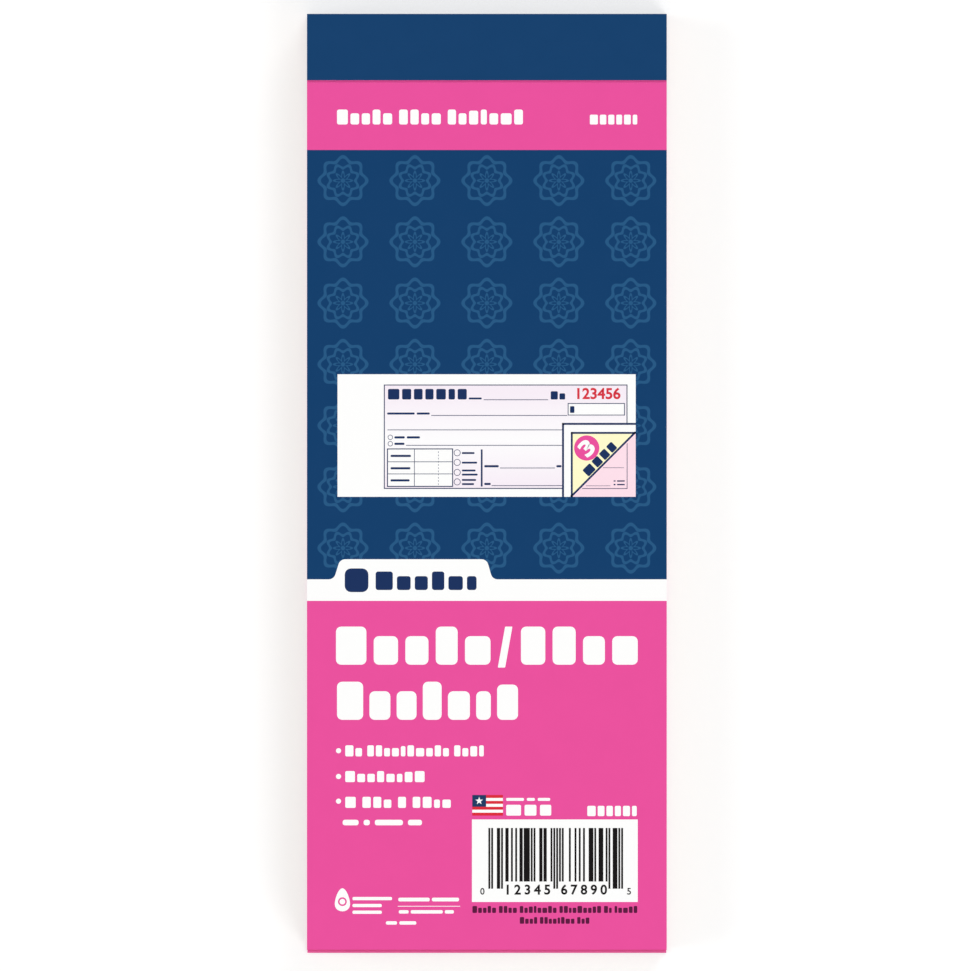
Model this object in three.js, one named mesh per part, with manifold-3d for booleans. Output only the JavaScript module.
// A slim receipt book, bound along its short top edge: fifty three-part carbonless sets under a
// card front cover, stitched with two wire staples and closed with a strip of tape round the spine.
// The back cover runs on past the foot as a scored tail. Stored, the tail is folded flat under the
// back; in use it wraps round the foot and lies below the top set as a writing plate.
// Millimetres. +Z is up, the book lies on its back, +Y points to the binding and +X to the reader's right.

import * as THREE from "three";
import { mergeVertices } from "three/addons/utils/BufferGeometryUtils.js";
import Module from "manifold-3d";

const wasm = await Module();
wasm.setup();

// Driving sizes
const bookWidth = 69.85;
const bookLength = 182.56;
const setCount = 50;
const pliesPerSet = 3;
const leafThickness = 0.072;
const leafGap = 0.008;
const cardThickness = 0.3;
const backThickness = 0.35;
const tapeThickness = 0.18;
const tapeReach = 12.9;

// Clearances
const layGap = 0.02;
const foldGap = 0.06;
const wrapClearance = 0.06;
const plateClearance = 0.15;
const scoreGap = 0.06;
const coverScoreGap = 0.15;
const coverScoreRun = 0.4;
const wireClearance = 0.1;
const grooveClearance = 0.01;
const crownPress = 0.06;

// Perforation between the stubs and the forms
const perforationSetback = 1.0;
const perforationPitch = 1.6;
const tieWidth = 0.5;
const slitWidth = 0.2;
const tieCut = 0.03;
const slotEndMargin = 1.1;

// Flat stitching wire
const wireThickness = 0.32;
const wireWidth = 0.6;
const wireChamfer = 0.08;
const wireBendRadius = 0.4;
const wireBendSteps = 4;
const crownWidth = 12;
const clinchLength = 4;
const stapleInset = 6.4;

// Free end of the writing plate
const plateTapeMargin = 1.5;
const plateCornerCut = 5;

// The ends of the book along Y: the folded tail stands a little further out than the foot of the
// sheets, which leaves it room to wrap round them
const foldRadius = backThickness + foldGap / 2;
const spine = bookLength / 2;
const foot = -bookLength / 2 + 2 * foldRadius + wrapClearance;
const stackSpine = spine - tapeThickness - layGap;
const tapeEdge = spine - tapeReach;
const perforationLine = tapeEdge - perforationSetback;
const stapleLine = spine - stapleInset;

// Levels along Z, from the writing plate that the book rests on up to the tape
const plateTop = backThickness;
const backBottom = plateTop + foldGap;
const backTop = backBottom + backThickness;
const padBottom = backTop + layGap;
const leafPitch = leafThickness + leafGap;
const setPitch = pliesPerSet * leafPitch;
const setBottom = (number) => padBottom + (setCount - number) * setPitch;
const padTop = setBottom(1) + setPitch - leafGap;
const cardBottom = padTop + layGap;
const cardTop = cardBottom + cardThickness;
const tapeInnerTop = cardTop + layGap;
const tapeTop = tapeInnerTop + tapeThickness;
const tapeInnerBottom = backBottom - layGap;
const tapeBottom = tapeInnerBottom - tapeThickness;

// The tail folds about this line, midway between the back cover and the plate stored below it
const tailFold = { y: foot - wrapClearance - foldRadius, z: plateTop + foldGap / 2 };

// The gusset is as long as the closed book is thick, so that the plate passes above the front cover
const gussetLength = cardTop + plateClearance + backThickness / 2 - tailFold.z;
const plateFold = { y: tailFold.y + gussetLength, z: backThickness / 2 };
const plateEnd = tapeEdge - plateTapeMargin;

// The two staples stand at the quarter points of the width
const stapleCentres = { staple_left: -bookWidth / 4, staple_right: bookWidth / 4 };
const legOffset = (crownWidth - wireThickness) / 2;
const crownLevel = cardTop - grooveClearance - wireThickness / 2;
const clinchLevel = backBottom + grooveClearance + wireThickness / 2;

const materials = {
  cover: new THREE.MeshStandardMaterial({ color: 0x16406c, roughness: 0.4 }),
  tape: new THREE.MeshStandardMaterial({ color: 0x163f6a, roughness: 0.6 }),
  white: new THREE.MeshStandardMaterial({ color: 0xf7f6f1, roughness: 0.9 }),
  canary: new THREE.MeshStandardMaterial({ color: 0xf8ecb0, roughness: 0.9 }),
  pink: new THREE.MeshStandardMaterial({ color: 0xf4c6d0, roughness: 0.9 }),
  sheets: new THREE.MeshStandardMaterial({ color: 0xf1e7dc, roughness: 0.9 }),
  back: new THREE.MeshStandardMaterial({ color: 0xeb529e, roughness: 0.5 }),
  wire: new THREE.MeshStandardMaterial({ color: 0xc4c7ca, roughness: 0.3, metalness: 1 }),
};

// A box from one corner to the opposite one.
function block([xFrom, yFrom, zFrom], [xTo, yTo, zTo]) {
  return new THREE.BoxGeometry(xTo - xFrom, yTo - yFrom, zTo - zFrom)
    .translate((xFrom + xTo) / 2, (yFrom + yTo) / 2, (zFrom + zTo) / 2);
}

// Sheet as wide as the book, from one place along Y to another, with its underside at z.
function stock(yFrom, yTo, z, thickness) {
  return block([-bookWidth / 2, yFrom, z], [bookWidth / 2, yTo, z + thickness]);
}

// A piece of one section along the whole width: the outline is in Y and Z.
function acrossWidth(outline, arcSteps = 6) {
  const geometry = new THREE.ExtrudeGeometry(outline, {
    depth: bookWidth, bevelEnabled: false, curveSegments: arcSteps,
  });
  const turn = new THREE.Matrix4().makeBasis(
    new THREE.Vector3(0, 1, 0), new THREE.Vector3(0, 0, 1), new THREE.Vector3(1, 0, 0),
  );
  return geometry.applyMatrix4(turn).translate(-bookWidth / 2, 0, 0);
}

function named(name, geometry, material) {
  const mesh = new THREE.Mesh(geometry, material);
  mesh.name = name;
  return mesh;
}

// A geometry as a closed solid for cutting, and a cut solid as a flat-faced geometry again.
function toSolid(geometry) {
  const bare = geometry.index ? geometry.toNonIndexed() : geometry.clone();
  bare.deleteAttribute("normal");
  bare.deleteAttribute("uv");
  const merged = mergeVertices(bare, 1e-4);
  return new wasm.Manifold(new wasm.Mesh({
    numProp: 3,
    vertProperties: merged.attributes.position.array,
    triVerts: new Uint32Array(merged.index.array),
  }));
}

function toGeometry(solid) {
  const mesh = solid.getMesh();
  const indexed = new THREE.BufferGeometry();
  indexed.setAttribute("position", new THREE.BufferAttribute(mesh.vertProperties, 3));
  indexed.setIndex(new THREE.BufferAttribute(mesh.triVerts, 1));
  const geometry = indexed.toNonIndexed();
  geometry.computeVertexNormals();
  return geometry;
}

// A geometry with the boxes of a die cut out of it.
function cut(geometry, die) {
  return toGeometry(toSolid(geometry).subtract(wasm.Manifold.union(die.map(toSolid))));
}

// The die for one stretch of flat wire between two places along X, through all levels or from z up.
function wireSlot(xFrom, xTo, z = -1) {
  const endRoom = wireThickness / 2 + wireClearance;
  const sideRoom = wireWidth / 2 + wireClearance;
  return block(
    [xFrom - endRoom, stapleLine - sideRoom, z],
    [xTo + endRoom, stapleLine + sideRoom, tapeTop + 1],
  );
}

const atStaples = (slotsOf) => Object.values(stapleCentres).flatMap(slotsOf);

const legDie = atStaples((centre) => [-legOffset, legOffset].map(
  (x) => wireSlot(centre + x, centre + x),
));

const crownDie = (z) => atStaples((centre) => [
  wireSlot(centre - legOffset, centre + legOffset, z),
]);

const clinchDie = atStaples((centre) => [
  wireSlot(centre - legOffset, centre - legOffset + clinchLength),
  wireSlot(centre + legOffset - clinchLength, centre + legOffset),
]);

// The die of the perforation: a slit from each tie to the next, with a wider tie at either side.
function slitDie() {
  const sideCount = Math.floor((bookWidth / 2 - slotEndMargin) / perforationPitch);
  return Array.from({ length: 2 * sideCount }, (_, i) => {
    const tie = (i - sideCount) * perforationPitch;
    return block(
      [tie + tieWidth / 2, perforationLine - slitWidth / 2, -1],
      [tie + perforationPitch - tieWidth / 2, perforationLine + slitWidth / 2, tapeTop + 1],
    );
  });
}

// The white, canary and pink forms of the first set. Each turns by itself, its ties already creased.
function topLeaves() {
  const plies = [
    ["pink_leaf", materials.pink],
    ["canary_leaf", materials.canary],
    ["white_leaf", materials.white],
  ];
  return plies.map(([name, material], ply) => {
    const level = setBottom(1) + ply * leafPitch;
    const form = stock(foot, perforationLine - tieCut / 2, level, leafThickness);
    return named(name, cut(form, slitDie()), material);
  });
}

// The stitched stubs of the first set. The staple crowns are pressed a little way into them.
function topStub() {
  const level = setBottom(1);
  const pressed = crownLevel - wireThickness / 2 - crownPress;
  const stub = stock(perforationLine + tieCut / 2, stackSpine, level, setPitch - leafGap);
  const die = [...slitDie(), ...legDie, ...crownDie(pressed)];
  return named("set_01_stub", cut(stub, die), materials.white);
}

// The sets below the first, each of three plies held together, down to the last two as one pack.
function lowerSets() {
  const packed = 2;
  const label = (number) => String(number).padStart(2, "0");
  const sets = (name, number, count, die) => named(
    name,
    cut(stock(foot, stackSpine, setBottom(number), count * setPitch - leafGap), die),
    materials.sheets,
  );
  const singles = Array.from({ length: setCount - packed - 1 }, (_, i) => i + 2);
  return [
    ...singles.map((number) => sets(
      `set_${label(number)}`, number, 1, number === 2 ? [...legDie, ...slitDie()] : legDie,
    )),
    sets(`sets_${label(setCount - 1)}_${label(setCount)}`, setCount, packed, legDie),
  ];
}

// The printed card that opens. Its outer face is scored beside the tape, which thins it at the fold.
function frontCover() {
  const fold = tapeEdge - coverScoreGap;
  const section = new THREE.Shape();
  section.moveTo(foot, cardBottom);
  section.lineTo(fold, cardBottom);
  section.lineTo(fold, cardBottom + cardThickness / 2);
  section.lineTo(fold - coverScoreRun, cardTop);
  section.lineTo(foot, cardTop);
  section.closePath();
  return named("front_cover", acrossWidth(section), materials.cover);
}

// The stitched strip of the same card under the tape. The crowns lie in slots pressed through it.
const frontCoverStub = () => named(
  "front_cover_stub",
  cut(stock(tapeEdge, stackSpine, cardBottom, cardThickness), crownDie()),
  materials.cover,
);

const backCover = () => named(
  "back_cover",
  cut(stock(foot, stackSpine, backBottom, backThickness), clinchDie),
  materials.back,
);

// The scored strip of the tail between its two folds, with the round bend of the first fold on it.
function tailGusset() {
  const end = plateFold.y - backThickness / 2 - scoreGap;
  const sink = Math.asin((foldGap / 2) / foldRadius);
  const section = new THREE.Shape();
  section.moveTo(tailFold.y, 0);
  section.lineTo(end, 0);
  section.lineTo(end, backThickness);
  section.lineTo(tailFold.y + foldRadius * Math.cos(sink), backThickness);
  section.absarc(tailFold.y, tailFold.z, foldRadius, -sink, 1.5 * Math.PI, false);
  section.closePath();
  return named("tail_gusset", acrossWidth(section, 10), materials.back);
}

// The tail's long free panel, round at its fold and with its far corners cut off to slip in easily.
function writingPlate() {
  const section = new THREE.Shape();
  section.moveTo(plateFold.y, 0);
  section.lineTo(plateEnd, 0);
  section.lineTo(plateEnd, backThickness);
  section.lineTo(plateFold.y, backThickness);
  section.absarc(plateFold.y, plateFold.z, backThickness / 2, Math.PI / 2, 1.5 * Math.PI, false);
  section.closePath();

  const half = bookWidth / 2;
  const blank = new THREE.Shape();
  blank.moveTo(-half - 1, plateFold.y - backThickness);
  blank.lineTo(half + 1, plateFold.y - backThickness);
  blank.lineTo(half + 1, plateEnd - plateCornerCut - 1);
  blank.lineTo(half - plateCornerCut - 1, plateEnd + 1);
  blank.lineTo(-half + plateCornerCut + 1, plateEnd + 1);
  blank.lineTo(-half - 1, plateEnd - plateCornerCut - 1);
  blank.closePath();
  const die = new THREE.ExtrudeGeometry(blank, { depth: backThickness + 2, bevelEnabled: false })
    .translate(0, 0, -1);

  const solid = toSolid(acrossWidth(section)).intersect(toSolid(die));
  return named("writing_plate", toGeometry(solid), materials.back);
}

// The tape: one strip round the spine, from its front edge over the top to its back edge.
function bindingTape() {
  const innerRadius = layGap;
  const outerRadius = innerRadius + tapeThickness;
  const inner = spine - tapeThickness;
  const section = new THREE.Shape();
  section.moveTo(tapeEdge, tapeBottom);
  section.absarc(
    spine - outerRadius, tapeBottom + outerRadius, outerRadius,
    -Math.PI / 2, 0, false,
  );
  section.absarc(
    spine - outerRadius, tapeTop - outerRadius, outerRadius, 0, Math.PI / 2, false,
  );
  section.lineTo(tapeEdge, tapeTop);
  section.lineTo(tapeEdge, tapeInnerTop);
  section.absarc(
    inner - innerRadius, tapeInnerTop - innerRadius, innerRadius, Math.PI / 2, 0, true,
  );
  section.absarc(
    inner - innerRadius, tapeInnerBottom + innerRadius, innerRadius, 0, -Math.PI / 2, true,
  );
  section.lineTo(tapeEdge, tapeInnerBottom);
  section.closePath();
  return named("binding_tape", acrossWidth(section), materials.tape);
}

// The centreline of bent wire as a chain of points, one ring of the section to each.
class BentWire extends THREE.Curve {
  constructor(points) {
    super();
    this.points = points;
  }

  getPoint(t, target = new THREE.Vector3()) {
    const place = t * (this.points.length - 1);
    const from = Math.min(Math.floor(place), this.points.length - 2);
    return target.lerpVectors(this.points[from], this.points[from + 1], place - from);
  }

  getPointAt(u, target) {
    return this.getPoint(u, target);
  }

  getTangentAt(u, target = new THREE.Vector3()) {
    const last = this.points.length - 1;
    const here = Math.round(u * last);
    const ahead = this.points[Math.min(here + 1, last)].clone();
    const behind = this.points[Math.max(here - 1, 0)].clone();
    ahead.sub(this.points[here]).normalize();
    behind.subVectors(this.points[here], behind).normalize();
    return target.addVectors(ahead, behind).normalize();
  }

  // The wire bends in the XZ plane only, so its flat stays square to Y all the way.
  computeFrenetFrames(segments) {
    const tangents = Array.from({ length: segments + 1 }, (_, i) => (
      this.getTangentAt(i / segments, new THREE.Vector3())
    ));
    const binormals = tangents.map(() => new THREE.Vector3(0, 1, 0));
    const normals = tangents.map((tangent, i) => binormals[i].clone().cross(tangent));
    return { tangents, normals, binormals };
  }
}

// A flat-wire staple: crown under the tape, legs down through every stub, tips clinched inwards.
function staple(name, centre) {
  const corner = (x, z, startAngle, sweep) => Array.from({ length: wireBendSteps + 1 }, (_, i) => {
    const angle = startAngle + (sweep * i) / wireBendSteps;
    return new THREE.Vector3(
      x + wireBendRadius * Math.cos(angle), stapleLine, z + wireBendRadius * Math.sin(angle),
    );
  });
  const bend = legOffset - wireBendRadius;
  const upper = crownLevel - wireBendRadius;
  const lower = clinchLevel + wireBendRadius;
  const tip = legOffset - clinchLength;
  const quarter = Math.PI / 2;
  const points = [
    new THREE.Vector3(centre - tip, stapleLine, clinchLevel),
    ...corner(centre - bend, lower, -quarter, -quarter),
    ...corner(centre - bend, upper, Math.PI, -quarter),
    ...corner(centre + bend, upper, quarter, -quarter),
    ...corner(centre + bend, lower, 0, -quarter),
    new THREE.Vector3(centre + tip, stapleLine, clinchLevel),
  ];
  const [t, w, c] = [wireThickness / 2, wireWidth / 2, wireChamfer];
  const section = new THREE.Shape([
    [t, -w + c], [t, w - c], [t - c, w], [-t + c, w], [-t, w - c], [-t, -w + c], [-t + c, -w], [t - c, -w],
  ].map(([x, y]) => new THREE.Vector2(x, y)));
  const geometry = new THREE.ExtrudeGeometry(section, {
    steps: points.length - 1, extrudePath: new BentWire(points),
  });
  return named(name, geometry, materials.wire);
}

const book = new THREE.Group();
book.name = "receipt_book";
book.add(frontCover(), frontCoverStub(), ...topLeaves(), topStub(), ...lowerSets());
book.add(backCover(), tailGusset(), writingPlate(), bindingTape());
for (const [name, centre] of Object.entries(stapleCentres)) book.add(staple(name, centre));

export default book;
